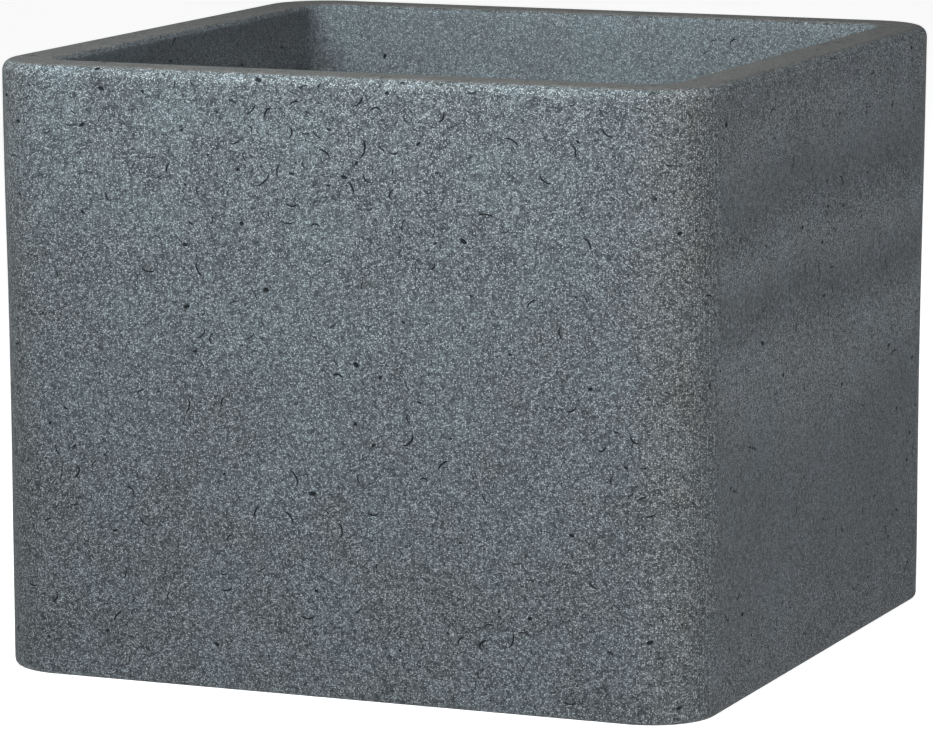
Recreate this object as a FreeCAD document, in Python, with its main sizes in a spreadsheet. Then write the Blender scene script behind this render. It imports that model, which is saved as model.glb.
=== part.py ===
import FreeCAD, Part
import Sketcher
import math
import os

# A free-standing square planter: one hollow moulding with two skins, four rubber bungs in the drain
# holes of its soil floor, and a plastic button in the vent of its underside.
# Frame: origin on the ground at the middle of the foot, +Z up, +X to the right, -Y to the front.

doc = FreeCAD.newDocument("planter_box")

# ---------------------------------------------------------------- driving dimensions, in millimetres

SIZES = [
    ("width", 390, "outer width across the rim"),
    ("depth", 390, "outer depth across the rim"),
    ("height", 315, "ground to the top of the rim"),
    ("corner_radius", 37, "upright outer corners, at the rim"),
    ("outer_draft", 2.6, "how far each outer wall draws in at the foot"),
    ("rim_width", 27, "outer wall to inner wall, across the rim"),
    ("inner_corner_radius", 14, "upright inner corners, at the rim"),
    ("inner_draft", 4, "how far each inner wall draws in at the soil floor"),
    ("rim_outer_round", 6, "rounding of the rim's outer edge"),
    ("rim_inner_round", 4, "rounding of the rim's inner edge"),
    ("foot_round", 3, "rounding of the foot's outer edge"),
    ("floor_round", 8, "rounding where the inner wall meets the soil floor"),
    ("soft_edge", 2, "rounding of the edges underneath"),
    ("skin", 4, "thickness of the moulded skin"),
    ("floor_height", 42, "ground to the top of the soil floor"),
    ("recess_depth", 5, "how far the underside is raised inside the standing ring"),
    ("ring_width", 30, "width of the standing ring"),
    ("recess_corner_radius", 20, "corners of the raised underside"),
    ("drain_inset", 70, "inner wall to the middle of a drain, at the soil floor"),
    ("drain_radius", 7, "drain hole"),
    ("post_radius", 15, "hollow of a drain post, at its top"),
    ("post_flare", 4, "how much wider that hollow is at the underside"),
    ("fused_floor", 9, "thickness of the two skins fused at a drain"),
    ("plug_head_radius", 13, "head of a drain plug"),
    ("plug_head_depth", 3.5, "thickness of that head"),
    ("plug_head_gap", 0.5, "gap round the head in its seat"),
    ("plug_edge", 0.8, "rounding of the head's edges"),
    ("plug_tail", 7.5, "how far the stem reaches below its hole"),
    ("plug_waist", 1, "how much thinner the stem is between its ribs"),
    ("plug_rib", 1.8, "height of a sealing rib"),
    ("plug_wall", 2.5, "wall of the hollow stem"),
    ("grip_radius", 9, "finger hollow in the head"),
    ("grip_depth", 2, "depth of that hollow"),
    ("grip_bar", 4.5, "width of the bar left across it"),
    ("fit_clearance", 0.05, "running fit of a plug in its hole, on the radius"),
    ("vent_radius", 5, "vent hole in the underside"),
    ("vent_head_radius", 8, "head of the vent plug"),
    ("vent_head_depth", 1.5, "thickness of that head"),
    ("vent_barb", 0.6, "how far the barb stands out beyond the hole"),
    ("vent_nose", 4, "length of the barbed nose above the skin"),
    ("vent_wall", 1.5, "wall of the hollow stem"),
]

sheet = doc.addObject("Spreadsheet::Sheet", "dims")
for row, (alias, value, meaning) in enumerate(SIZES, start=1):
    sheet.set(f"A{row}", alias)
    sheet.set(f"B{row}", str(value))
    sheet.set(f"C{row}", meaning)
    sheet.setAlias(f"B{row}", alias)
doc.recompute()

TOUCH = 0.01        # two places closer than this are the same place
DRAINS = ((1, 1), (-1, 1), (-1, -1), (1, -1))        # the sides of the middle that each drain lies on

# Places and sizes that more than one feature shares, all worked out from the sheet.
FOOT_X = "(dims.width / 2 - dims.outer_draft)"
FOOT_Y = "(dims.depth / 2 - dims.outer_draft)"
FOOT_CORNER = "(dims.corner_radius - dims.outer_draft)"
OUTER_TAPER = "atan(dims.outer_draft / dims.height)"
RIM_X = "(dims.width / 2 - dims.rim_width)"
RIM_Y = "(dims.depth / 2 - dims.rim_width)"
INNER_TAPER = "atan(dims.inner_draft / (dims.height - dims.floor_height))"
FLOOR_X = f"({RIM_X} - dims.inner_draft)"
FLOOR_Y = f"({RIM_Y} - dims.inner_draft)"
FLOOR_CORNER = "(dims.inner_corner_radius - dims.inner_draft)"
RECESS_X = f"({FOOT_X} - dims.ring_width)"
RECESS_Y = f"({FOOT_Y} - dims.ring_width)"
UNDERSIDE = "(dims.recess_depth + dims.skin)"
DRAIN_X = f"({FLOOR_X} - dims.drain_inset)"
DRAIN_Y = f"({FLOOR_Y} - dims.drain_inset)"
POST_TOP = "(dims.floor_height - dims.fused_floor)"
POST_TAPER = f"atan(dims.post_flare / ({POST_TOP} - dims.recess_depth))"
SEAT = "(dims.floor_height - dims.plug_head_depth)"


# ---------------------------------------------------------------- helpers

def number(expression):
    """The present value of an expression on the sheet."""
    value = sheet.evalExpression(expression.replace("dims.", ""))
    return float(getattr(value, "Value", value))


def new_body(label):
    body = doc.addObject("PartDesign::Body", label)
    body.Label = label
    return body


def new_sketch(body, name, role="XY_Plane", level=None):
    """A sketch on one of the body's own planes, raised to a level when one is given."""
    sketch = body.newObject("Sketcher::SketchObject", name)
    plane = next(item for item in body.Origin.OriginFeatures if item.Role == role)
    sketch.AttachmentSupport = (plane, [""])
    sketch.MapMode = "FlatFace"
    if level:
        sketch.setExpression("AttachmentOffset.Base.z", level)
    return sketch


def relate(sketch, *rule):
    return sketch.addConstraint(Sketcher.Constraint(*rule))


def drive(sketch, expression, *rule):
    """Add a size to a sketch and tie it to the sheet."""
    index = relate(sketch, *rule, number(expression))
    sketch.setExpression(f"Constraints[{index}]", expression)


def rounded_outline(body, name, half_x, half_y, radius, level=None):
    """A rectangle about the origin with four equal round corners."""
    sketch = new_sketch(body, name, level=level)
    reach_x = f"{half_x} - {radius}"
    reach_y = f"{half_y} - {radius}"
    arcs = []
    for turn, (side_x, side_y) in enumerate([(1, 1), (-1, 1), (-1, -1), (1, -1)]):
        centre = FreeCAD.Vector(side_x * number(reach_x), side_y * number(reach_y), 0)
        circle = Part.Circle(centre, FreeCAD.Vector(0, 0, 1), number(radius))
        start = turn * math.pi / 2
        arcs.append(sketch.addGeometry(Part.ArcOfCircle(circle, start, start + math.pi / 2), False))
    for turn, arc in enumerate(arcs):
        following = arcs[(turn + 1) % 4]
        ends = (sketch.getPoint(arc, 2), sketch.getPoint(following, 1))
        line = sketch.addGeometry(Part.LineSegment(*ends), False)
        relate(sketch, "Tangent", arc, 2, line, 1)
        relate(sketch, "Tangent", line, 2, following, 1)
        relate(sketch, "Vertical" if turn % 2 else "Horizontal", line)
    for arc in arcs[1:]:
        relate(sketch, "Equal", arcs[0], arc)
    relate(sketch, "Symmetric", arcs[0], 3, arcs[2], 3, -1, 1)
    drive(sketch, radius, "Radius", arcs[0])
    drive(sketch, reach_x, "DistanceX", -1, 1, arcs[0], 3)
    drive(sketch, reach_y, "DistanceY", -1, 1, arcs[0], 3)
    return sketch


def circles(body, name, radius, level, places=((0, 0),)):
    """Equal circles; a place is a pair of signs that says which drain it is, and (0, 0) the middle."""
    sketch = new_sketch(body, name, level=level)
    rings = []
    for side_x, side_y in places:
        centre = FreeCAD.Vector(side_x * number(DRAIN_X), side_y * number(DRAIN_Y), 0)
        circle = Part.Circle(centre, FreeCAD.Vector(0, 0, 1), number(radius))
        rings.append(sketch.addGeometry(circle, False))
        if side_x == 0:
            relate(sketch, "Coincident", rings[-1], 3, -1, 1)
        else:
            drive(sketch, f"{side_x} * {DRAIN_X}", "DistanceX", -1, 1, rings[-1], 3)
            drive(sketch, f"{side_y} * {DRAIN_Y}", "DistanceY", -1, 1, rings[-1], 3)
    for ring in rings[1:]:
        relate(sketch, "Equal", rings[0], ring)
    drive(sketch, radius, "Radius", rings[0])
    return sketch


def pad(body, name, sketch, length, taper=None):
    """Raise a sketch upwards. A positive taper makes it wider as it rises."""
    feature = body.newObject("PartDesign::Pad", name)
    feature.Profile = sketch
    feature.setExpression("Length", length)
    if taper:
        feature.setExpression("TaperAngle", taper)
    doc.recompute()
    return feature


def pocket(body, name, sketch, length, taper=None, upward=False):
    """Cut a sketch into the body, and make sure that it did cut."""
    before = body.Shape.Volume
    feature = body.newObject("PartDesign::Pocket", name)
    feature.Profile = sketch
    feature.Reversed = upward
    feature.setExpression("Length", length)
    if taper:
        feature.setExpression("TaperAngle", taper)
    doc.recompute()
    if feature.Shape.Volume > before - TOUCH:
        raise RuntimeError(f"{name} cuts nothing")
    return feature


def fillet(body, name, radius, wanted):
    """Round the edges of the body's tip that a test picks out."""
    tip = body.Tip
    names = [f"Edge{i}" for i, edge in enumerate(tip.Shape.Edges, start=1) if wanted(edge)]
    feature = body.newObject("PartDesign::Fillet", name)
    feature.Base = (tip, names)
    feature.setExpression("Radius", radius)
    doc.recompute()
    return feature


def level_edge(edge, level, within=None, beyond=None):
    """Is the edge flat at this level, and inside or outside a pair of half widths about the middle?"""
    box = edge.BoundBox
    if max(abs(box.ZMin - level), abs(box.ZMax - level)) > TOUCH:
        return False
    reach_x = max(abs(box.XMin), abs(box.XMax))
    reach_y = max(abs(box.YMin), abs(box.YMax))
    if within and (reach_x > within[0] + TOUCH or reach_y > within[1] + TOUCH):
        return False
    return not beyond or reach_x > beyond[0] - TOUCH or reach_y > beyond[1] - TOUCH


def ring_edge(edge, level, radius):
    """Is the edge a circle of this radius at this level?"""
    if not level_edge(edge, level) or not isinstance(edge.Curve, Part.Circle):
        return False
    return abs(edge.Curve.Radius - radius) < TOUCH


def revolved(body, name, points):
    """A solid of revolution about +Z through (radius, level) points, each an expression or None for 0."""
    sketch = new_sketch(body, f"{name}_profile", role="XZ_Plane")
    spots = []
    for radius, level in points:
        spots.append(FreeCAD.Vector(number(radius) if radius else 0, number(level) if level else 0, 0))
    for i, spot in enumerate(spots):
        sketch.addGeometry(Part.LineSegment(spot, spots[(i + 1) % len(spots)]), False)
    for i, (radius, level) in enumerate(points):
        relate(sketch, "Coincident", i, 2, (i + 1) % len(points), 1)
        if radius:
            drive(sketch, radius, "DistanceX", -1, 1, i, 1)
        else:
            relate(sketch, "PointOnObject", i, 1, -2)
        if level:
            drive(sketch, level, "DistanceY", -1, 1, i, 1)
        else:
            relate(sketch, "PointOnObject", i, 1, -1)
    feature = body.newObject("PartDesign::Revolution", name)
    feature.Profile = sketch
    feature.ReferenceAxis = (sketch, ["V_Axis"])
    feature.Angle = 360
    doc.recompute()
    return feature


# ---------------------------------------------------------------- the moulded shell

def make_shell():
    """Outer box, hollowed to its skin; then the inner tub, its posts and the raised underside."""
    body = new_body("planter_shell")
    rim = number("dims.height")
    lip = number("dims.height - dims.skin")

    outline = rounded_outline(body, "foot_outline", FOOT_X, FOOT_Y, FOOT_CORNER)
    pad(body, "outer_box", outline, "dims.height", OUTER_TAPER)
    fillet(body, "rim_outer_edge", "dims.rim_outer_round", lambda edge: level_edge(edge, rim))
    fillet(body, "foot_edge", "dims.foot_round", lambda edge: level_edge(edge, 0))

    outline = rounded_outline(
        body, "air_space_outline", f"({FOOT_X} - dims.skin)", f"({FOOT_Y} - dims.skin)",
        f"({FOOT_CORNER} - dims.skin)", "dims.skin",
    )
    pocket(body, "air_space", outline, "dims.height - 2 * dims.skin", OUTER_TAPER, upward=True)
    fillet(body, "air_space_edge", "dims.rim_outer_round - dims.skin", lambda edge: level_edge(edge, lip))

    outline = rounded_outline(
        body, "tub_outline", f"({FLOOR_X} + dims.skin)", f"({FLOOR_Y} + dims.skin)",
        f"({FLOOR_CORNER} + dims.skin)", "dims.floor_height - dims.skin",
    )
    pad(body, "tub_block", outline, "dims.height - dims.floor_height + dims.skin / 2", INNER_TAPER)
    outline = rounded_outline(
        body, "underside_outline", f"({RECESS_X} + dims.skin)", f"({RECESS_Y} + dims.skin)",
        "(dims.recess_corner_radius + dims.skin)", "dims.skin / 2",
    )
    pad(body, "underside_block", outline, "dims.recess_depth + dims.skin / 2")
    rings = circles(
        body, "post_circles", "dims.post_radius + dims.post_flare + dims.skin", "dims.recess_depth", DRAINS,
    )
    pad(body, "posts", rings, "dims.floor_height - dims.skin / 2 - dims.recess_depth", f"-{POST_TAPER}")

    outline = rounded_outline(body, "rim_outline", RIM_X, RIM_Y, "dims.inner_corner_radius", "dims.height")
    pocket(body, "planting_space", outline, "dims.height - dims.floor_height", f"-{INNER_TAPER}")
    outline = rounded_outline(body, "recess_outline", RECESS_X, RECESS_Y, "dims.recess_corner_radius")
    pocket(body, "recess", outline, "dims.recess_depth", upward=True)
    rings = circles(
        body, "post_hollow_circles", "dims.post_radius + dims.post_flare", "dims.recess_depth", DRAINS,
    )
    pocket(body, "post_hollows", rings, f"{POST_TOP} - dims.recess_depth", f"-{POST_TAPER}", upward=True)
    rings = circles(body, "drain_circles", "dims.drain_radius", "dims.floor_height", DRAINS)
    pocket(body, "drain_holes", rings, "dims.fused_floor")
    rings = circles(
        body, "seat_circles", "dims.plug_head_radius + dims.plug_head_gap", "dims.floor_height", DRAINS,
    )
    pocket(body, "plug_seats", rings, "dims.plug_head_depth")
    ring = circles(body, "vent_circle", "dims.vent_radius", "dims.recess_depth")
    pocket(body, "vent_hole", ring, "dims.skin", upward=True)

    inner_rim = (number(RIM_X), number(RIM_Y))
    fillet(body, "rim_inner_edge", "dims.rim_inner_round",
           lambda edge: level_edge(edge, rim, within=inner_rim))
    soil_floor = number("dims.floor_height")
    floor_reach = (number(FLOOR_X), number(FLOOR_Y))
    fillet(body, "floor_edge", "dims.floor_round",
           lambda edge: level_edge(edge, soil_floor, beyond=floor_reach))
    recess_reach = (number(RECESS_X), number(RECESS_Y))
    fillet(body, "standing_ring_edge", "dims.soft_edge",
           lambda edge: level_edge(edge, 0, within=recess_reach))
    ceiling = number("dims.recess_depth")
    mouth = number("dims.post_radius + dims.post_flare")
    fillet(body, "post_mouth_edges", "dims.soft_edge",
           lambda edge: ring_edge(edge, ceiling, mouth))
    return body


# ---------------------------------------------------------------- the loose pieces

def make_drain_plug(label, side_x, side_y):
    """A hollow rubber bung: ribs that seal the hole, a head in the seat, and a bar to pull it by."""
    body = new_body(label)
    rib = "(dims.drain_radius - dims.fit_clearance)"
    waist = f"({rib} - dims.plug_waist)"
    bore = f"({waist} - dims.plug_wall)"
    seat = "(dims.plug_tail + dims.fused_floor - dims.plug_head_depth)"
    top = "(dims.plug_tail + dims.fused_floor)"
    grip_floor = f"({top} - dims.grip_depth)"
    revolved(body, "bung", [
        (bore, None),
        (waist, None),
        (waist, "dims.plug_tail - dims.plug_waist"),
        (rib, "dims.plug_tail"),
        (rib, "dims.plug_tail + dims.plug_rib"),
        (waist, "dims.plug_tail + dims.plug_rib"),
        (waist, f"{seat} - dims.plug_rib"),
        (rib, f"{seat} - dims.plug_rib"),
        (rib, seat),
        ("dims.plug_head_radius", seat),
        ("dims.plug_head_radius", top),
        (None, top),
        (None, f"{grip_floor} - dims.plug_wall"),
        (bore, f"{grip_floor} - dims.plug_wall"),
    ])
    ring = circles(body, "grip_circle", "dims.grip_radius", top)
    pocket(body, "grip_hollow", ring, "dims.grip_depth")
    bar = rounded_outline(
        body, "bar_outline", "(dims.grip_bar / 2)", "(dims.grip_radius + dims.plug_edge)",
        "(dims.grip_bar / 4)", grip_floor,
    )
    pad(body, "bar", bar, "dims.grip_depth")
    crown = number(top)
    rim = number("dims.plug_head_radius")
    fillet(body, "head_edge", "dims.plug_edge", lambda edge: ring_edge(edge, crown, rim))
    body.setExpression("Placement.Base.x", f"{side_x} * {DRAIN_X}")
    body.setExpression("Placement.Base.y", f"{side_y} * {DRAIN_Y}")
    body.setExpression("Placement.Base.z", f"{POST_TOP} - dims.plug_tail")
    return body


def make_vent_plug():
    """A plastic button: flat head under the skin, stem through it, and a barb that holds it above."""
    body = new_body("vent_plug")
    stem = "(dims.vent_radius - dims.fit_clearance)"
    barb = "(dims.vent_radius + dims.vent_barb)"
    bore = f"({stem} - dims.vent_wall)"
    above = "(dims.vent_head_depth + dims.skin + dims.fit_clearance)"
    tip = f"({above} + dims.vent_nose)"
    revolved(body, "button", [
        (None, None),
        ("dims.vent_head_radius", None),
        ("dims.vent_head_radius", "dims.vent_head_depth"),
        (stem, "dims.vent_head_depth"),
        (stem, above),
        (barb, above),
        (f"({stem} - dims.vent_barb)", tip),
        (bore, tip),
        (bore, "dims.vent_head_depth + dims.vent_wall"),
        (None, "dims.vent_head_depth + dims.vent_wall"),
    ])
    fillet(body, "button_edge", "dims.vent_head_depth / 2", lambda edge: level_edge(edge, 0))
    body.setExpression("Placement.Base.z", "dims.recess_depth - dims.vent_head_depth")
    return body


# ---------------------------------------------------------------- assembly, checks and files

parts = [make_shell()]
for end, side_y in (("front", -1), ("rear", 1)):
    for side, side_x in (("left", -1), ("right", 1)):
        parts.append(make_drain_plug(f"drain_plug_{end}_{side}", side_x, side_y))
parts.append(make_vent_plug())
doc.recompute()

faults = [item.Name for item in doc.Objects if "Invalid" in item.State or "Error" in item.State]
for part in parts:
    if part.Shape.isNull() or not part.Shape.isValid() or len(part.Shape.Solids) != 1:
        faults.append(part.Label)
if faults:
    raise RuntimeError(f"these are not sound: {faults}")

os.makedirs("parts", exist_ok=True)
for part in parts:
    part.Shape.exportStep(f"parts/{part.Label}.step")
    print(f"{part.Label}: {part.Shape.Volume / 1000:.1f} cm3")
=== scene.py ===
# %% [markdown]
# # A stone-effect planter
# The planter is one hollow plastic moulding, and its frame, sizes and moving plugs come from the packed
# model. This script gives it its looks. Everything is in metres, in the model's own frame: origin on the
# ground at the middle of the foot, Z up, X to the right, -Y to the front.

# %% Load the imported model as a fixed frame
import bmesh
import bpy
import math
import random
from mathutils import Matrix, Vector
from mathutils.bvhtree import BVHTree


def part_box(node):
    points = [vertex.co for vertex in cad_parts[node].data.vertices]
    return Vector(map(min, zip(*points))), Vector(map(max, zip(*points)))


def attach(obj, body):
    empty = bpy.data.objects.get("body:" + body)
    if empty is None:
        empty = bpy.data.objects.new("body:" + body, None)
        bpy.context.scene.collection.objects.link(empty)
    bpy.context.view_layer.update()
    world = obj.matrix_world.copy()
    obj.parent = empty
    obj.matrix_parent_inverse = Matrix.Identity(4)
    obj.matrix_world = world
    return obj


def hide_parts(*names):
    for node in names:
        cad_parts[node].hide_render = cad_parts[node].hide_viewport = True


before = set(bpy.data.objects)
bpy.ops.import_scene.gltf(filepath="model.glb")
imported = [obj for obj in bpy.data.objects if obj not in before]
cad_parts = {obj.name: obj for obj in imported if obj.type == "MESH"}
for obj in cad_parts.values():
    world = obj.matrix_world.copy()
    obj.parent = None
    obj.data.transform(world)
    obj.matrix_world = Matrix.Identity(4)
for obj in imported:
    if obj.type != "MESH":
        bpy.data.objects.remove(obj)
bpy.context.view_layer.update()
SHELL_LOW, SHELL_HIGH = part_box("planter_shell")
RIM_LEVEL = SHELL_HIGH.z
print("shell", SHELL_LOW[:], SHELL_HIGH[:])

# %% [markdown]
# ## The camera
# A picture of a product is usually taken with a long lens from a little above, so that upright edges
# stay nearly upright. The camera is placed by the direction it looks from and by how far away it stands.
# It could be aimed with a constraint, but a matrix made from three directions says exactly where it looks.

# %% Camera
AZIMUTH = math.radians(22.5)        # round from the front towards the right
ELEVATION = math.radians(9.05)
ROLL = math.radians(-0.06)
DISTANCE = 2.906
LENS = 211.3                        # millimetres, on a sensor 36 mm wide
AIM_RIGHT = -0.0063                 # the aim, from the middle of the planter
AIM_UP = -0.0198


def place_camera():
    forward = Vector((
        -math.sin(AZIMUTH) * math.cos(ELEVATION),
        math.cos(AZIMUTH) * math.cos(ELEVATION),
        -math.sin(ELEVATION),
    ))
    right = Vector((math.cos(AZIMUTH), math.sin(AZIMUTH), 0))
    up = right.cross(forward)
    aim = Vector((0, 0, RIM_LEVEL / 2)) + right * AIM_RIGHT + up * AIM_UP
    data = bpy.data.cameras.new("camera")
    data.lens = LENS
    data.sensor_width = 36
    data.clip_end = 50
    camera = bpy.data.objects.new("camera", data)
    bpy.context.collection.objects.link(camera)
    turn = Matrix((right, up, -forward)).transposed().to_4x4()
    roll = Matrix.Rotation(ROLL, 4, "Z")
    camera.matrix_world = Matrix.Translation(aim - forward * DISTANCE) @ turn @ roll
    bpy.context.scene.camera = camera
    return camera


camera = place_camera()
print("camera at", camera.location[:])


# %% [markdown]
# ## The shape of the moulding
# A hollow plastic planter comes out of one mould, so every wall turns into the next with a round edge and
# leans a little, so that it leaves the mould. It could be a cube with bevels, but its inside and its
# outside have corners of different radius. So its main outlines are laid down first, each a square with
# round corners at its own height, and are bridged from the raised underside, out and up over the rim, and
# down to the soil floor.

# %% Sizes of the moulding, in metres
HALF = SHELL_HIGH.x                 # half the width at the rim
CORNER = 0.037                      # upright outer corners at the rim
OUTER_DRAFT = 0.0026                # each outer wall draws in this much at the foot
RIM_WIDTH = 0.027
INNER_CORNER = 0.014
INNER_DRAFT = 0.004
SOIL_LEVEL = 0.042
SEAT_DEPTH = 0.0035
RING_WIDTH = 0.030
RECESS_DEPTH = 0.005
RECESS_CORNER = 0.020
CORNER_STEPS = 16
SIDE_STEPS = 54
OUTLINES = {
    "recess_ceiling": (HALF - OUTER_DRAFT - RING_WIDTH, RECESS_CORNER, RECESS_DEPTH),
    "standing_ring": (HALF - OUTER_DRAFT - RING_WIDTH, RECESS_CORNER, 0.0),
    "foot": (HALF - OUTER_DRAFT, CORNER - OUTER_DRAFT, 0.0),
    "rim": (HALF, CORNER, RIM_LEVEL),
    "mouth": (HALF - RIM_WIDTH, INNER_CORNER, RIM_LEVEL),
    "soil_floor": (HALF - RIM_WIDTH - INNER_DRAFT, INNER_CORNER - INNER_DRAFT, SOIL_LEVEL),
}                                   # half width, corner radius and level
ROUND_EDGES = {
    "standing_ring": (0.002, 3),
    "foot": (0.003, 4),
    "rim": (0.006, 8),
    "mouth": (0.004, 6),
    "soil_floor": (0.008, 6),
}                                   # radius, and steps of the bevel
SMALL = 1e-5                        # places closer than this are the same place
BRIDGE_LIFT = 0.02                  # how far the foot and the mouth are held away while they are bridged
print("outlines:", ", ".join(OUTLINES))


# %% Picking by place, and laying an outline
def pick(kind, test):
    """In edit mode: select only the verts, edges or faces that pass a test."""
    bpy.ops.mesh.select_mode(type={"verts": "VERT", "edges": "EDGE", "faces": "FACE"}[kind])
    bpy.ops.mesh.select_all(action="DESELECT")
    mesh = bpy.context.object.data
    shape = bmesh.from_edit_mesh(mesh)
    for item in getattr(shape, kind):
        if test(item):
            item.select_set(True)
    bmesh.update_edit_mesh(mesh)


def off_outline(place, half, corner):
    """How far a place is outside a square with round corners, seen from above."""
    past_x = abs(place.x) - (half - corner)
    past_y = abs(place.y) - (half - corner)
    outside = math.hypot(max(past_x, 0), max(past_y, 0))
    return outside + min(max(past_x, past_y), 0) - corner


def on_outline(place, name):
    half, corner, level = OUTLINES[name]
    return abs(place.z - level) < SMALL and abs(off_outline(place, half, corner)) < 10 * SMALL


def lies_on(item, name):
    """Whether an edge or a face has all its corners on an outline."""
    return all(on_outline(vert.co, name) for vert in item.verts)


def lay_outline(name):
    """In edit mode: a ring of edges, from a plane whose corners are bevelled and sides divided."""
    half, corner, level = OUTLINES[name]
    bpy.ops.mesh.select_all(action="DESELECT")
    bpy.ops.mesh.primitive_plane_add(size=2 * half, location=(0, 0, level))
    bpy.ops.mesh.bevel(affect="VERTICES", offset=corner, segments=CORNER_STEPS, profile=0.5)
    pick("faces", lambda face: lies_on(face, name))
    bpy.ops.mesh.delete(type="ONLY_FACE")
    pick("edges", lambda edge: edge.calc_length() > half and lies_on(edge, name))
    bpy.ops.mesh.subdivide(number_cuts=SIDE_STEPS - 1)


def bridge(first, second):
    pick("edges", lambda edge: lies_on(edge, first) or lies_on(edge, second))
    bpy.ops.mesh.bridge_edge_loops()


def lift_outline(name, height):
    """In edit mode: two outlines in one plane bridge badly, so one is moved away and later back."""
    pick("verts", lambda vert: on_outline(vert.co, name))
    bpy.ops.transform.translate(value=(0, 0, height))
    half, corner, level = OUTLINES[name]
    OUTLINES[name] = (half, corner, level + height)


def fill(name):
    pick("edges", lambda edge: lies_on(edge, name))
    bpy.ops.mesh.edge_face_add()


def round_edge(name, radius, steps):
    pick("edges", lambda edge: lies_on(edge, name))
    bpy.ops.mesh.bevel(affect="EDGES", offset=radius, segments=steps, profile=0.5, clamp_overlap=False)


# %% Bridge the outlines and round the edges
def new_part(name, add, **options):
    """Start a piece from a primitive, with nothing else selected."""
    bpy.ops.object.select_all(action="DESELECT")
    add(**options)
    part = bpy.context.object
    part.name = name
    part.data.name = name
    return part


def model_moulding():
    part = new_part("shell_of_planter", bpy.ops.mesh.primitive_plane_add, size=1)
    bpy.ops.object.mode_set(mode="EDIT")
    bpy.ops.mesh.delete(type="VERT")
    names = list(OUTLINES)
    for name in names:
        lay_outline(name)
    lift_outline("foot", -BRIDGE_LIFT)
    lift_outline("mouth", BRIDGE_LIFT)
    for first, second in zip(names, names[1:]):
        bridge(first, second)
    lift_outline("foot", BRIDGE_LIFT)
    lift_outline("mouth", -BRIDGE_LIFT)
    fill("recess_ceiling")
    fill("soil_floor")
    bpy.ops.mesh.select_all(action="SELECT")
    bpy.ops.mesh.normals_make_consistent(inside=False)
    for name, (radius, steps) in ROUND_EDGES.items():
        round_edge(name, radius, steps)
    bpy.ops.object.mode_set(mode="OBJECT")
    return part


moulding = model_moulding()
print("bridged:", len(moulding.data.polygons), "faces")

# %% [markdown]
# ## Walls that can carry detail
# A wall made of one tall face can't bow or hold a bubble. A loop cut would divide it by hand. Here the
# upright edges of each wall are selected and subdivided together, which gives the same rows.

# %% Divide the walls into rows
OUTER_ROWS = 50
INNER_ROWS = 42


def divide_walls(part):
    bpy.ops.object.mode_set(mode="EDIT")
    middle_of_wall = HALF - RIM_WIDTH / 2

    def is_upright(edge, outer):
        if edge.calc_length() < HALF:
            return False
        return all((off_outline(v.co, middle_of_wall, CORNER) > 0) == outer for v in edge.verts)

    for outer, rows in ((True, OUTER_ROWS), (False, INNER_ROWS)):
        pick("edges", lambda edge: is_upright(edge, outer))
        bpy.ops.mesh.subdivide(number_cuts=rows - 1)
    bpy.ops.object.mode_set(mode="OBJECT")


divide_walls(moulding)
print("divided:", len(moulding.data.polygons), "faces")

# %% [markdown]
# ## Drain holes and the vent
# Each drain is a stepped round hole: a seat for the plug's head, the hole itself, and the wide hollow of
# a post below it. It could be cut with three cylinders, but one turned tool cuts all the steps at once.
# Its outline is drawn point by point and spun about the upright axis, as on a lathe.

# %% Turn a shape on the lathe
LATHE_STEPS = 48


def turned(name, profile, steps=LATHE_STEPS):
    """A closed solid of revolution about +Z, from (radius, level) points that start and end on the axis."""
    part = new_part(name, bpy.ops.mesh.primitive_plane_add, size=1)
    bpy.ops.object.mode_set(mode="EDIT")
    bpy.ops.mesh.select_mode(type="VERT")
    bpy.ops.mesh.select_all(action="SELECT")
    bpy.ops.mesh.merge(type="CENTER")
    radius, level = profile[0]
    bpy.ops.transform.translate(value=(radius, 0, level))
    for (radius, level), (next_radius, next_level) in zip(profile, profile[1:]):
        step = (next_radius - radius, 0, next_level - level)
        bpy.ops.mesh.extrude_vertices_move(TRANSFORM_OT_translate={"value": step})
    bpy.ops.mesh.select_all(action="SELECT")
    bpy.ops.mesh.spin(steps=steps, angle=2 * math.pi, center=(0, 0, 0), axis=(0, 0, 1))
    tidy_mesh()
    return part


def tidy_mesh():
    """In edit mode: merge the doubles, turn the faces outwards, and go back to object mode."""
    bpy.ops.mesh.select_all(action="SELECT")
    bpy.ops.mesh.remove_doubles(threshold=SMALL)
    bpy.ops.mesh.normals_make_consistent(inside=False)
    bpy.ops.object.mode_set(mode="OBJECT")


# %% Copy, join, cut and unite
def only(*parts):
    """Select these objects alone, and make the first one active."""
    bpy.ops.object.select_all(action="DESELECT")
    for part in parts:
        part.select_set(True)
    bpy.context.view_layer.objects.active = parts[0]


def copy_to(part, place):
    """A copy with its own mesh, at a place given by a matrix."""
    twin = part.copy()
    twin.data = part.data.copy()
    bpy.context.collection.objects.link(twin)
    twin.matrix_world = place
    return twin


def join(parts):
    only(*parts)
    bpy.ops.object.join()
    return parts[0]


def settle(part):
    """Put the object at the origin, with its place and turn in its mesh."""
    only(part)
    bpy.ops.object.transform_apply(location=True, rotation=True, scale=True)


def apply_modifier(part, kind, **settings):
    modifier = part.modifiers.new(kind.lower(), kind)
    for name, value in settings.items():
        setattr(modifier, name, value)
    only(part)
    bpy.ops.object.modifier_apply(modifier=modifier.name)


def combine(part, tool, operation):
    """Cut the tool out of the part or unite them, and throw the tool away."""
    apply_modifier(part, "BOOLEAN", operation=operation, object=tool, solver="MANIFOLD")
    bpy.data.objects.remove(tool)


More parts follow.
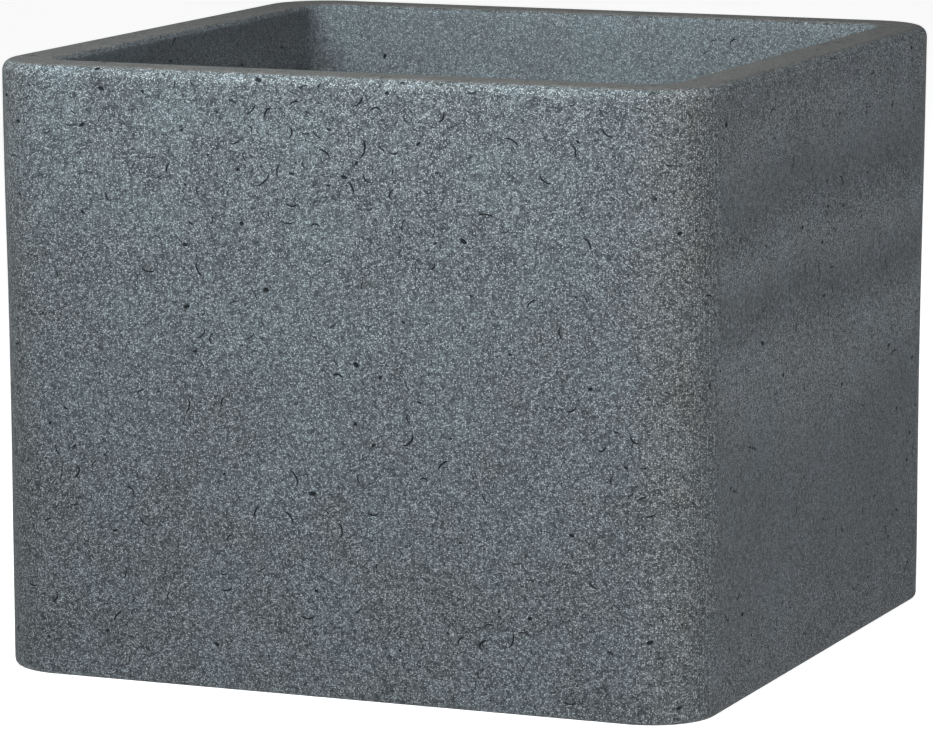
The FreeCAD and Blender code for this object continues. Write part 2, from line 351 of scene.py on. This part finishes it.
# %% Cut the drains and the vent
DRAIN_NODES = sorted(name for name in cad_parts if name.startswith("drain_plug"))
DRAIN_RADIUS = 0.007
SEAT_RADIUS = 0.0135
POST_TOP = 0.033
POST_RADIUS = 0.015
POST_FLARE = 0.004
SOFT_EDGE = 0.002
VENT_RADIUS = 0.005
SKIN = 0.004
BARB_ROOM = 0.008
FIT = 0.00005                       # the running fit of every plug, on the radius
CLEAR = 0.01                        # how far a cutting tool runs past a face


def middle_of(node):
    low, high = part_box(node)
    return (low + high) / 2


def cut_drains(part):
    post_foot = POST_RADIUS + POST_FLARE
    drain_tool = turned("drain_tool", [
        (0, SOIL_LEVEL + CLEAR),
        (SEAT_RADIUS, SOIL_LEVEL + CLEAR),
        (SEAT_RADIUS, SOIL_LEVEL - SEAT_DEPTH),
        (DRAIN_RADIUS, SOIL_LEVEL - SEAT_DEPTH),
        (DRAIN_RADIUS, POST_TOP),
        (POST_RADIUS, POST_TOP),
        (post_foot, RECESS_DEPTH + SOFT_EDGE),
        (post_foot + SOFT_EDGE, RECESS_DEPTH),
        (post_foot + SOFT_EDGE, RECESS_DEPTH - CLEAR),
        (0, RECESS_DEPTH - CLEAR),
    ])
    tools = []
    for node in DRAIN_NODES:
        middle = middle_of(node)
        tools.append(copy_to(drain_tool, Matrix.Translation((middle.x, middle.y, 0))))
    bpy.data.objects.remove(drain_tool)
    skin_top = RECESS_DEPTH + SKIN
    tools.append(turned("vent_tool", [
        (0, skin_top + BARB_ROOM),
        (BARB_ROOM, skin_top + BARB_ROOM),
        (BARB_ROOM, skin_top),
        (VENT_RADIUS, skin_top),
        (VENT_RADIUS, RECESS_DEPTH - CLEAR),
        (0, RECESS_DEPTH - CLEAR),
    ]))
    combine(part, join(tools), "DIFFERENCE")


cut_drains(moulding)
print("drained:", len(moulding.data.polygons), "faces")

# %% [markdown]
# ## Walls that are never quite flat
# A plastic wall shrinks away from the mould as it cools, so its middle draws in by half a millimetre and
# its surface undulates a little. A lattice could bend it. Scaling the middle of the walls with a soft
# falloff does the same in one step, and a Displace modifier with a cloud texture adds the undulation.

# %% Bow and undulate the walls
WALL_BOW = 0.9972                   # the middle of the walls, as a share of its full size
BOW_REACH = 0.14                    # how far the bow spreads up and down
WAVE_SIZE = 0.12
WAVE_HEIGHT = 0.0004
FLAT_FOOT = 0.010                   # the foot stays flat up to here
RIM_SWAY = 0.004                    # over RIM_FADE, the share of the waves that reaches the rim
RIM_FADE = 0.012


def bow_walls(part):
    only(part)
    bpy.ops.object.mode_set(mode="EDIT")
    row = RIM_LEVEL / OUTER_ROWS
    middle_of_wall = HALF - RIM_WIDTH / 2
    pick("verts", lambda vert: abs(vert.co.z - RIM_LEVEL / 2) < row
         and off_outline(vert.co, middle_of_wall, CORNER) > 0)
    bpy.ops.transform.resize(
        value=(WALL_BOW, WALL_BOW, 1), center_override=(0, 0, RIM_LEVEL / 2), use_proportional_edit=True,
        proportional_edit_falloff="SMOOTH", proportional_size=BOW_REACH,
    )
    bpy.ops.object.mode_set(mode="OBJECT")


def undulate(part):
    waves = bpy.data.textures.new("waves", "CLOUDS")
    waves.noise_scale = WAVE_SIZE
    waves.noise_depth = 1
    free = part.vertex_groups.new(name="free")
    wall = [v.index for v in part.data.vertices if v.co.z > SOIL_LEVEL + FLAT_FOOT / 2
            or (v.co.z > FLAT_FOOT and off_outline(v.co, HALF - RIM_WIDTH, CORNER) > 0)]
    for index in wall:
        height = part.data.vertices[index].co.z
        above_foot = (height - FLAT_FOOT) / FLAT_FOOT
        below_rim = (RIM_LEVEL + RIM_SWAY - height) / RIM_FADE
        free.add([index], min(1, above_foot, below_rim), "REPLACE")
    apply_modifier(
        part, "DISPLACE", texture=waves, strength=WAVE_HEIGHT, mid_level=0.5, texture_coords="LOCAL",
        vertex_group="free",
    )
    part.vertex_groups.clear()


bow_walls(moulding)
undulate(moulding)
across = [v.co.x for v in moulding.data.vertices]
print("bowed: x from", min(across), "to", max(across))

# %% [markdown]
# ## Open bubbles and hairline marks
# Gas that is caught between the powder and the mould leaves small open bubbles in the skin, and where a
# bubble only just broke through there is a thin curved mark. They could be painted as a bump, but a bump
# has no edge that catches the light. So one shallow dish and one ring of V section are modelled, copied
# all over the walls at random places, turns and sizes, and cut out of the skin all at once. The ring is
# tilted, so that it cuts only a curved groove with two fading ends.

# %% Model the two cutting tools
DISH_DEPTH = 0.4                    # for a mark with a radius of 1, as are the lengths below
DISH_FLOOR = 0.62                   # the radius where the dish's side turns into its floor
DISH_SIDE = 0.72                    # how deep the side reaches, as a share of the depth
COLLAR = 0.5                        # how far the dish tool stands out of the surface
COLLAR_RADIUS = 1.4
RING_SECTION = 0.27
GROOVE_DEPTH = 0.20
RING_FLATTEN = 0.80
RING_TILT = math.radians(15)


def dish_tool():
    """A shallow dish with a rim radius of 1 at level 0, closed by a lid above the surface."""
    return turned("dish_tool", [
        (0, COLLAR),
        (COLLAR_RADIUS, COLLAR),
        (1, 0),
        (DISH_FLOOR, -DISH_DEPTH * DISH_SIDE),
        (0, -DISH_DEPTH),
    ], steps=10)


def ring_tool():
    """A ring of radius 1, tilted so that only its lowest part is under the surface at level 0."""
    part = new_part(
        "ring_tool", bpy.ops.mesh.primitive_torus_add, major_segments=22, minor_segments=4,
        major_radius=1, minor_radius=RING_SECTION,
    )
    bpy.ops.object.mode_set(mode="EDIT")
    bpy.ops.mesh.select_all(action="SELECT")
    bpy.ops.transform.resize(value=(1, 1, RING_FLATTEN))
    bpy.ops.object.mode_set(mode="OBJECT")
    lift = math.sin(RING_TILT) + RING_SECTION * RING_FLATTEN - GROOVE_DEPTH
    part.matrix_world = Matrix.Translation((0, 0, lift)) @ Matrix.Rotation(RING_TILT, 4, "X")
    settle(part)
    return part


dish = dish_tool()
ring = ring_tool()
print("tools:", len(dish.data.polygons), "and", len(ring.data.polygons), "faces")

# %% Scatter the marks over the walls
MARKS_OUTSIDE = 800
MARKS_INSIDE = 330
MARKS_ON_RIM = 26
CLUSTERS = [
    (Vector((-0.03, -0.194, 0.276)), 0.060, 120),
    (Vector((-0.13, -0.194, 0.12)), 0.035, 10),
    (Vector((0.194, 0.02, 0.22)), 0.045, 10),
]                                   # middle, spread and number of marks
CLUSTER_HEIGHT = 0.4                # how far a cluster spreads upright, as a share of its spread
NEAR_WALL = 0.9                     # how much less it spreads through its wall than along it
ABOVE_FOOT = 0.008
ABOVE_SOIL = 0.012
BELOW_RIM = 0.003
DISH_SHARE = 0.28
DISH_SIZES = (0.0006, 0.0017, 0.0009)   # least, most and most common radius
RING_SIZES = (0.0011, 0.0031, 0.0016)
LENGTHEN = (1.0, 1.8)
NARROW = (0.7, 1.0)
DISH_TURN = 0.5                     # most dishes lie nearly level
ROOM = 1.6                          # each mark keeps this many radii to itself
dice = random.Random(5)


def place_on_outline(along, half, corner):
    """Walk a distance along a square with round corners: the place, and the way outwards."""
    side = 2 * (half - corner)
    quarter = side + corner * math.pi / 2
    turns, rest = divmod(along, quarter)
    if rest < side:
        place, out = Vector((rest - side / 2, -half, 0)), Vector((0, -1, 0))
    else:
        angle = (rest - side) / corner
        out = Vector((math.sin(angle), -math.cos(angle), 0))
        place = Vector((side / 2, -side / 2, 0)) + out * corner
    turn = Matrix.Rotation(turns * math.pi / 2, 3, "Z")
    return turn @ place, turn @ out


def rough_places():
    """Where the marks go, before each is brought onto the skin."""
    for count, half, corner, low in (
        (MARKS_OUTSIDE, HALF, CORNER, ABOVE_FOOT),
        (MARKS_INSIDE, HALF - RIM_WIDTH, INNER_CORNER, SOIL_LEVEL + ABOVE_SOIL),
    ):
        round_trip = 4 * (2 * (half - corner) + corner * math.pi / 2)
        for _ in range(count):
            place, _out = place_on_outline(dice.uniform(0, round_trip), half, corner)
            place.z = dice.uniform(low, RIM_LEVEL - BELOW_RIM)
            yield place
    middle = HALF - RIM_WIDTH / 2
    for _ in range(MARKS_ON_RIM):
        place, out = place_on_outline(dice.uniform(0, 8 * middle), middle, CORNER)
        yield place + out * dice.uniform(-0.006, 0.004) + Vector((0, 0, RIM_LEVEL + 0.002))
    for middle, spread, count in CLUSTERS:
        for _ in range(count):
            aside = [dice.gauss(0, spread) * (1 - NEAR_WALL * abs(side) / HALF) for side in middle.xy]
            yield middle + Vector((*aside, dice.gauss(0, CLUSTER_HEIGHT * spread)))


def scatter_marks(part):
    skin = BVHTree.FromObject(part, bpy.context.evaluated_depsgraph_get())
    tools = []
    taken = []
    for place in rough_places():
        place, normal, _face, _away = skin.find_nearest(place)
        is_dish = dice.random() < DISH_SHARE
        size = dice.triangular(*(DISH_SIZES if is_dish else RING_SIZES))
        reach = size * ROOM
        if any((place - other).length < reach + other_reach for other, other_reach in taken):
            continue
        taken.append((place, reach))
        angle = dice.gauss(0, DISH_TURN) if is_dish else dice.uniform(0, 2 * math.pi)
        spin = Matrix.Rotation(angle, 4, "Z")
        stretch = Matrix.Diagonal((size * dice.uniform(*LENGTHEN), size * dice.uniform(*NARROW), size, 1))
        turn = normal.to_track_quat("Z", "Y").to_matrix().to_4x4()
        tools.append(copy_to(dish if is_dish else ring, Matrix.Translation(place) @ turn @ spin @ stretch))
    return skin, join(tools), len(tools)


skin, marks, mark_count = scatter_marks(moulding)
settle(marks)
combine(moulding, marks, "DIFFERENCE")
for tool in (dish, ring):
    bpy.data.objects.remove(tool)
print("marked:", mark_count, "marks,", len(moulding.data.polygons), "faces")

# %% [markdown]
# ## What the finish has to know about the shape
# An open bubble is painted near-black as shade, and the rim's flat top, which the mould's parting face
# formed, is smoother and browner than the walls. The finish could guess this from heights, but the walls
# undulate. So each point of the mesh keeps a few numbers that its material reads: how deep it lies under
# the skin, and how much it belongs to the flat rim, to the rim's round outer edge, to an upright corner or
# to the inside. The edge is painted paler as a highlight, and the corners paler and warmer as a painted
# reflection.

# %% Store depth, rim, edge, corner and inside on the mesh
DEEP = 0.00022                      # a point this far under the skin counts as fully hollow
RIM_LINE = RIM_LEVEL - 0.0006
EDGE_ROUND, _steps = ROUND_EDGES["rim"]
EDGE_RISE = 3                       # the painted highlight on the edge is full from a third of its height up
TOP_FADE = 2000                     # per metre: its painted highlight fades over the top half millimetre
MOUTH_SLACK = 0.001
BELOW_SOIL = 0.02                   # the seats and holes of the drains count as inside too


def store(part, name, value_of):
    layer = part.data.attributes.new(name, "FLOAT", "POINT")
    values = [value_of(v.co) for v in part.data.vertices]
    layer.data.foreach_set("value", values)
    return sum(values) / len(values)


def depth_under_skin(place):
    _place, _normal, _face, away = skin.find_nearest(place)
    return min(1, max(0, away - SMALL) / DEEP)


def belongs_to_rim(place):
    return 1.0 if place.z > RIM_LINE else 0.0


def belongs_inside(place):
    within = off_outline(place, HALF - RIM_WIDTH + MOUTH_SLACK, INNER_CORNER) < 0
    return 1.0 if within and place.z > SOIL_LEVEL - BELOW_SOIL else 0.0


def belongs_to_corner(place):
    """1 on the middle of an upright outer corner, fading to 0 where the flat walls begin."""
    past_x, past_y = (abs(side) - (HALF - CORNER) for side in place.xy)
    if past_x <= 0 or past_y <= 0 or off_outline(place, HALF - RIM_WIDTH / 2, CORNER) < 0:
        return 0.0
    return 1 - abs(math.atan2(past_y, past_x) / (math.pi / 4) - 1)


def belongs_to_edge(place):
    """1 on the round outer edge of the rim, 0 on the walls and on the rim's flat top."""
    if off_outline(place, HALF - RIM_WIDTH / 2, CORNER) < 0:
        return 0.0
    rise = (place.z - RIM_LEVEL + EDGE_ROUND) / EDGE_ROUND * EDGE_RISE
    return max(0.0, min(1.0, rise, (RIM_LEVEL - place.z) * TOP_FADE))


print("edge:", store(moulding, "edge", belongs_to_edge))
print("corner:", store(moulding, "corner", belongs_to_corner))
print("hollow:", store(moulding, "hollow", depth_under_skin))
print("rim:", store(moulding, "rim", belongs_to_rim))
print("inside:", store(moulding, "inside", belongs_inside))

# %% Smooth the moulding and set it in the frame
SMOOTH_BELOW = math.radians(30)


def finish_part(part, body, slot, *nodes):
    only(part)
    bpy.ops.object.shade_smooth_by_angle(angle=SMOOTH_BELOW)
    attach(part, body)
    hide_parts(*nodes)


finish_part(moulding, "shell", "stone_effect", "planter_shell")
print(moulding.name, "stands for planter_shell")

# %% [markdown]
# ## Rubber drain plugs
# A drain plug is a soft bung: a flat head that sits flush in its seat, two sealing ribs, a hollow stem
# that can be squeezed, and a bar across a finger hollow to pull it by. Like the drain, it is a turned
# shape, so the lathe makes it, and only the bar is a block that is bevelled and united with it.

# %% Model one plug and copy it
HEAD_RADIUS = 0.013
GRIP_RADIUS = 0.009
GRIP_DEPTH = 0.002
BAR_WIDTH = 0.0045
BAR_SINK = 0.0002                   # the bar's top lies this far under the head's
BAR_OVERLAP = 0.0012                # how much longer it is than the finger hollow is wide
RIB_RADIUS = DRAIN_RADIUS - FIT
RIB_HEIGHT = 0.0018
WAIST = 0.001
PLUG_WALL = 0.0025
PLUG_FOOT = POST_TOP - 0.0075
SEAT_LEVEL = SOIL_LEVEL - SEAT_DEPTH
PLUG_BEVEL = 0.00035
BAR_BEVEL = 0.0005
BEVEL_STEPS = 3


def soften(part, width):
    """Bevel the sharp edges of a turned part."""
    apply_modifier(part, "BEVEL", width=width, segments=BEVEL_STEPS, limit_method="ANGLE",
                   angle_limit=SMOOTH_BELOW)


def model_plug():
    waist = RIB_RADIUS - WAIST
    bore = waist - PLUG_WALL
    grip_floor = SOIL_LEVEL - GRIP_DEPTH
    part = turned("drain_plug", [
        (0, grip_floor),
        (GRIP_RADIUS, grip_floor),
        (GRIP_RADIUS, SOIL_LEVEL),
        (HEAD_RADIUS, SOIL_LEVEL),
        (HEAD_RADIUS, SEAT_LEVEL),
        (RIB_RADIUS, SEAT_LEVEL),
        (RIB_RADIUS, SEAT_LEVEL - RIB_HEIGHT),
        (waist, SEAT_LEVEL - RIB_HEIGHT),
        (waist, POST_TOP + RIB_HEIGHT),
        (RIB_RADIUS, POST_TOP + RIB_HEIGHT),
        (RIB_RADIUS, POST_TOP),
        (waist, POST_TOP - WAIST),
        (waist, PLUG_FOOT),
        (bore, PLUG_FOOT),
        (bore, grip_floor - PLUG_WALL),
        (0, grip_floor - PLUG_WALL),
    ])
    soften(part, PLUG_BEVEL)
    bar = new_part("bar", bpy.ops.mesh.primitive_cube_add, size=1,
                   location=(0, 0, SOIL_LEVEL - GRIP_DEPTH / 2 - BAR_SINK))
    bpy.ops.object.mode_set(mode="EDIT")
    bpy.ops.mesh.select_all(action="SELECT")
    bpy.ops.transform.resize(value=(BAR_WIDTH, 2 * GRIP_RADIUS + BAR_OVERLAP, GRIP_DEPTH))
    bpy.ops.object.mode_set(mode="OBJECT")
    apply_modifier(bar, "BEVEL", width=BAR_BEVEL, segments=BEVEL_STEPS)
    settle(bar)
    combine(part, bar, "UNION")
    return part


pattern = model_plug()
plugs = []
for node in DRAIN_NODES:
    middle = middle_of(node)
    plug = copy_to(pattern, Matrix.Translation((middle.x, middle.y, 0)))
    plug.name = plug.data.name = node.replace("drain_plug", "rubber_plug")
    settle(plug)
    finish_part(plug, node.replace("drain_plug", "plug"), "plug_rubber", node)
    plugs.append(plug)
bpy.data.objects.remove(pattern)
print("plugs:", len(plugs), "of", len(plugs[0].data.polygons), "faces")

# %% [markdown]
# ## Vent plug
# A rotation moulding needs a vent, so that its air can come and go in the oven. Afterwards a plastic
# button closes it: a flat head under the skin, a hollow stem, and a barb that snaps in above.

# %% Model the vent plug
VENT_HEAD_RADIUS = 0.008
VENT_HEAD = 0.0015
VENT_BARB = 0.0006
VENT_NOSE = 0.004
VENT_WALL = 0.0015
VENT_BEVEL = 0.0003


def model_vent_plug():
    stem = VENT_RADIUS - FIT
    head = RECESS_DEPTH - VENT_HEAD
    shoulder = RECESS_DEPTH + SKIN + FIT
    part = turned("vent_button", [
        (0, head),
        (VENT_HEAD_RADIUS, head),
        (VENT_HEAD_RADIUS, RECESS_DEPTH),
        (stem, RECESS_DEPTH),
        (stem, shoulder),
        (VENT_RADIUS + VENT_BARB, shoulder),
        (stem - VENT_BARB, shoulder + VENT_NOSE),
        (stem - VENT_WALL, shoulder + VENT_NOSE),
        (stem - VENT_WALL, RECESS_DEPTH + VENT_WALL),
        (0, RECESS_DEPTH + VENT_WALL),
    ])
    soften(part, VENT_BEVEL)
    return part


vent_button = model_vent_plug()
finish_part(vent_button, "shell", "vent_plastic", "vent_plug")
print("vent button:", len(vent_button.data.polygons), "faces")

# %% [markdown]
# ## Writing a material as sums
# A procedural finish is a tree of nodes. It could be wired node by node, but a sum is easier to read. So
# one small class wraps a socket: adding or multiplying two of them adds a Math node, and one method adds
# any other node.

# %% A socket that can be added and multiplied
class Shade:
    """One output in a material's node tree."""

    def __init__(self, tree, socket=None):
        self.tree = tree
        self.socket = socket

    def node(self, kind, settings=None, inputs=None, output=0):
        """Add a node: its settings first, then its values and links. Gives one of its outputs."""
        node = self.tree.nodes.new(kind)
        for name, value in (settings or {}).items():
            setattr(node, name, value)
        for name, value in (inputs or {}).items():
            if isinstance(value, Shade):
                self.tree.links.new(value.socket, node.inputs[name])
            else:
                node.inputs[name].default_value = value
        return Shade(self.tree, node.outputs[output])

    def math(self, operation, first, second=0.0):
        return self.node("ShaderNodeMath", {"operation": operation}, {0: first, 1: second})

    def __add__(self, other):
        return self.math("ADD", self, other)

    def __sub__(self, other):
        return self.math("SUBTRACT", self, other)

    def __rsub__(self, other):
        return self.math("SUBTRACT", other, self)

    def __mul__(self, other):
        return self.math("MULTIPLY", self, other)

    __radd__ = __add__
    __rmul__ = __mul__

    def ramp(self, low, high):
        """0 below low, 1 above high, and a smooth step between."""
        return self.node(
            "ShaderNodeMapRange", {"interpolation_type": "SMOOTHSTEP"},
            {"Value": self, "From Min": low, "From Max": high},
        )

    def mix(self, low, high):
        """A colour between low, where this is 0, and high, where it is 1."""
        return self.node(
            "ShaderNodeMix", {"data_type": "RGBA", "blend_type": "MIX", "clamp_factor": True},
            {0: self, 6: low, 7: high}, output=2,
        )


def rgb(red, green, blue):
    return (red, green, blue, 1)


# %% Patterns that the finishes share
def start_material(name):
    material = bpy.data.materials.new(name)
    material.use_nodes = True
    tree = material.node_tree
    shader = tree.nodes["Principled BSDF"]
    start = Shade(tree)
    place = start.node("ShaderNodeTexCoord", output="Object")
    return material, start, place, shader


def noise(start, place, size, detail=2.0, output="Fac"):
    """Soft noise whose patches are about size metres across."""
    return start.node(
        "ShaderNodeTexNoise", None, {"Vector": place, "Scale": 1 / size, "Detail": detail}, output,
    )


def grains(start, place, size):
    """Grains about size metres across: each one's random value, and how near its middle a point is."""
    cells = start.node("ShaderNodeTexVoronoi", None, {"Vector": place, "Scale": 1 / size}, "Color")
    away = Shade(start.tree, cells.socket.node.outputs["Distance"])
    return start.node("ShaderNodeSeparateColor", None, {"Color": cells}, 0), 1 - away.ramp(0.12, 0.70)


def attribute(start, name):
    return start.node("ShaderNodeAttribute", {"attribute_name": name}, None, "Fac")


def connect(start, shader, **sockets):
    for name, value in sockets.items():
        start.tree.links.new(value.socket, shader.inputs[name.replace("_", " ")])


def multiply(start, first, second):
    return start.node(
        "ShaderNodeMix", {"data_type": "RGBA", "blend_type": "MULTIPLY"}, {0: 1.0, 6: first, 7: second}, 2,
    )


def bumped(start, height, distance, strength):
    return start.node(
        "ShaderNodeBump", None, {"Height": height, "Distance": distance, "Strength": strength}, "Normal",
    )


# %% [markdown]
# ## Stone-effect plastic
# The powder is a blend of dark blue-grey and pale grains that melt side by side and keep their own
# colours, so the wall looks like fine granite. A picture of stone could be wrapped round it, but a
# pattern that is worked out in space has no seams and the right grain size everywhere. It is made of
# pale grains a little under a millimetre wide on a dark ground, finer ones between them, sparser ones of
# twice that size, loose clumps, and soft patches some centimetres wide, a little bluer or browner.

# %% The stone-effect finish
GRAIN = 0.00075
FINE_GRAIN = 0.00055
LARGE_GRAIN = 0.0017
CLUMP = 0.0028
PATCH = 0.030
WANDER_SIZE = 0.0010                # the grains' outlines wander this far apart
WANDER = 0.0004                     # and by this much
DOT_SHARE = 0.90                    # how much each pattern adds to the paleness
FINE_SHARE = 0.40
LARGE_SHARE = 0.20
CLUMP_SHARE = 0.34
CLOUD_SHARE = 0.10
GROUND = 0.03
INSIDE_FADE = 0.25                  # the inside is greyer: less contrast, on a paler ground
INSIDE_GROUND = 0.10
RIM_GROUND = 0.12
FULL_PIT = 0.4                      # from this hollowness on, a pit is painted black as shade
STONE_DARK = rgb(0.012, 0.014, 0.016)
STONE_PALE = rgb(0.212, 0.230, 0.246)
STONE_GLOSS = 0.13
# painted reflection on the upright corners: paler and warmer
CORNER_PAINTED_REFLECTION = rgb(1.12, 1.07, 1.02)
NO_CHANGE = rgb(1, 1, 1)
RIM_DARK = rgb(0.022, 0.021, 0.020)
RIM_PALE = rgb(0.165, 0.151, 0.147)
# painted highlight on the rim's round outer edge
EDGE_PAINTED_HIGHLIGHT = rgb(1.40, 1.38, 1.36)
# painted shade in the open bubbles: near-black
PIT_PAINTED_SHADE = rgb(0.003, 0.004, 0.005)
PATCH_BROWN = rgb(1.015, 0.995, 0.98)
PATCH_BLUE = rgb(0.985, 1.01, 1.02)
STONE_ROUGHNESS = 0.60
GRAIN_ROUGHNESS = 0.2               # the palest grains are this much rougher
GRAIN_HEIGHT = 0.00020
RIM_SMOOTHNESS = 0.6                # how much of the grains' relief the rim has lost


def stone_effect():
    material, start, place, shader = start_material("stone_effect_plastic")
    bend = noise(start, place, WANDER_SIZE, 1.0, "Color")
    wander = start.node("ShaderNodeVectorMath", {"operation": "SCALE"}, {0: bend, "Scale": WANDER})
    bent = start.node("ShaderNodeVectorMath", {"operation": "ADD"}, {0: place, 1: wander})
    coarse, coarse_middle = grains(start, bent, GRAIN)
    fine, fine_middle = grains(start, bent, FINE_GRAIN)
    large, large_middle = grains(start, bent, LARGE_GRAIN)
    cloud = noise(start, place, PATCH, 3.0)
    dots = coarse.ramp(0.30, 1.0) * coarse_middle
    large_dots = large.ramp(0.45, 1.0) * large_middle
    clump = noise(start, place, CLUMP, 1.0)
    blend = dots * DOT_SHARE + fine * fine_middle * FINE_SHARE + large_dots * LARGE_SHARE
    blend = blend + (clump - 0.5) * CLUMP_SHARE + (cloud - 0.5) * CLOUD_SHARE + GROUND
    inside = attribute(start, "inside")
    blend = blend * (1 - inside * INSIDE_FADE) + inside * INSIDE_GROUND
    patch = cloud.ramp(0.3, 0.7).mix(PATCH_BROWN, PATCH_BLUE)
    # Painted reflection: the upright corners are made paler and warmer, as if something warm mirrored in
    # them.
    corner = attribute(start, "corner").mix(NO_CHANGE, CORNER_PAINTED_REFLECTION)
    # Painted highlight: the rim's round outer edge is made paler.
    edge = attribute(start, "edge").mix(NO_CHANGE, EDGE_PAINTED_HIGHLIGHT)
    tint_and_painted_light = multiply(start, multiply(start, patch, corner), edge)
    rim = attribute(start, "rim")
    hollow = attribute(start, "hollow")
    stone = blend.mix(STONE_DARK, STONE_PALE)
    tinted_with_painted_light = multiply(start, stone, tint_and_painted_light)
    topped = rim.mix(tinted_with_painted_light, (blend + RIM_GROUND).mix(RIM_DARK, RIM_PALE))
    # Painted shade: the pits are coloured near-black, the deeper the darker.
    colour_with_painted_pit_shade = hollow.ramp(0.0, FULL_PIT).mix(topped, PIT_PAINTED_SHADE)
    rough = STONE_ROUGHNESS + GRAIN_ROUGHNESS * coarse
    shader.inputs["Specular IOR Level"].default_value = STONE_GLOSS
    height = (dots * 0.7 + large_dots * 0.5) * (1 - rim * RIM_SMOOTHNESS)
    relief = bumped(start, height, GRAIN_HEIGHT, 0.9)
    connect(start, shader, Base_Color=colour_with_painted_pit_shade, Roughness=rough, Normal=relief)
    return material


def wear(part, material):
    part.data.materials.clear()
    part.data.materials.append(material)


wear(moulding, stone_effect())
print("stone effect:", len(moulding.data.materials[0].node_tree.nodes), "nodes")

# %% [markdown]
# ## Black rubber and black plastic
# Rubber is a dull near-black with a greyish bloom and a faint orange-peel skin. The vent button is a
# smoother, slightly glossier plastic. Both get their clouding and their fine skin from noise.

# %% The rubber and the plastic
BLOOM = 0.006
SKIN_HEIGHT = 0.00006
BLOOM_ROUGHNESS = 0.2


def plain_black(name, dark, pale, roughness, grain, gloss):
    """A black finish: its tones, its roughness, the size of its skin's grain, and how it mirrors."""
    material, start, place, shader = start_material(name)
    bloom = noise(start, place, BLOOM, 4.0)
    skin_grain = noise(start, place, grain, 2.0)
    colour = (bloom * 0.7 + skin_grain * 0.3).ramp(0.35, 0.7).mix(dark, pale)
    connect(
        start, shader, Base_Color=colour, Roughness=roughness + BLOOM_ROUGHNESS * bloom,
        Normal=bumped(start, skin_grain, SKIN_HEIGHT, 0.7),
    )
    shader.inputs["Specular IOR Level"].default_value = gloss
    return material


plug_rubber = plain_black(
    "black_rubber", dark=rgb(0.012, 0.012, 0.013), pale=rgb(0.030, 0.029, 0.028),
    roughness=0.55, grain=0.0005, gloss=0.25,
)
vent_plastic = plain_black(
    "black_plastic", dark=rgb(0.020, 0.021, 0.023), pale=rgb(0.040, 0.041, 0.044),
    roughness=0.34, grain=0.0012, gloss=0.35,
)
for plug in plugs:
    wear(plug, plug_rubber)
wear(vent_button, vent_plastic)
print("finishes:", plug_rubber.name, vent_plastic.name)

# %% [markdown]
# ## Floor and light
# The planter stands on a white table that glows a little, as a light table in a studio does. A soft
# box with a grid, whose beam is narrow, lights the upper part of the front, so that the walls fade
# towards the foot. Two small boxes hang over the front edge and over the inside, and a large one fills.

# %% Floor
FLOOR_SIZE = 60
FLOOR_GLOW = 0.73
FLOOR_ROUGHNESS = 0.9


def floor_material():
    material, start, place, shader = start_material("studio_floor")
    patches = noise(start, place, 0.5, 2.0).mix(rgb(0.88, 0.88, 0.88), rgb(0.90, 0.90, 0.90))
    connect(start, shader, Base_Color=patches)
    shader.inputs["Roughness"].default_value = FLOOR_ROUGHNESS
    shader.inputs["Emission Color"].default_value = rgb(1, 1, 1)
    shader.inputs["Emission Strength"].default_value = FLOOR_GLOW
    return material


floor = new_part("studio_floor", bpy.ops.mesh.primitive_plane_add, size=FLOOR_SIZE)
wear(floor, floor_material())
print("floor:", floor.name)


# %% Lights
def add_light(name, place, aim, size, power, colour=(1, 1, 1), spread=180):
    """A soft box: where it hangs, what it points at, its size in metres and the spread of its beam."""
    data = bpy.data.lights.new(name, "AREA")
    data.energy = power
    data.color = colour
    data.shape = "RECTANGLE"
    data.size, data.size_y = size
    data.spread = math.radians(spread)
    light = bpy.data.objects.new(name, data)
    bpy.context.collection.objects.link(light)
    turn = (Vector(aim) - Vector(place)).to_track_quat("-Z", "Y").to_matrix().to_4x4()
    light.matrix_world = Matrix.Translation(place) @ turn
    return light


COOL = (0.86, 1.0, 1.02)
WORLD_STRENGTH = 0.22
add_light("box_over_front_edge", (-0.08, -0.45, 0.64), (0, 0, 0.25), (0.8, 0.25), 1.07, COOL)
add_light("box_over_inside", (-0.1, -0.2, 0.9), (0, 0.17, 0.3), (0.5, 0.25), 4.0, COOL)
add_light("box_on_the_right", (1.5, -1.8, 0.9), (0, 0, 0.25), (1.0, 1.0), 50.0)
add_light("gridded_box", (-0.35, -1.25, 0.85), (0, -0.1, 0.42), (0.5, 0.3), 2.75, COOL, spread=45)
world = bpy.data.worlds.new("studio")
bpy.context.scene.world = world
world.use_nodes = True
room = world.node_tree.nodes["Background"]
room.inputs["Color"].default_value = rgb(1, 1, 1)
room.inputs["Strength"].default_value = WORLD_STRENGTH
bpy.context.scene.view_settings.view_transform = "Standard"
print("lights:", [light.name for light in bpy.data.lights])
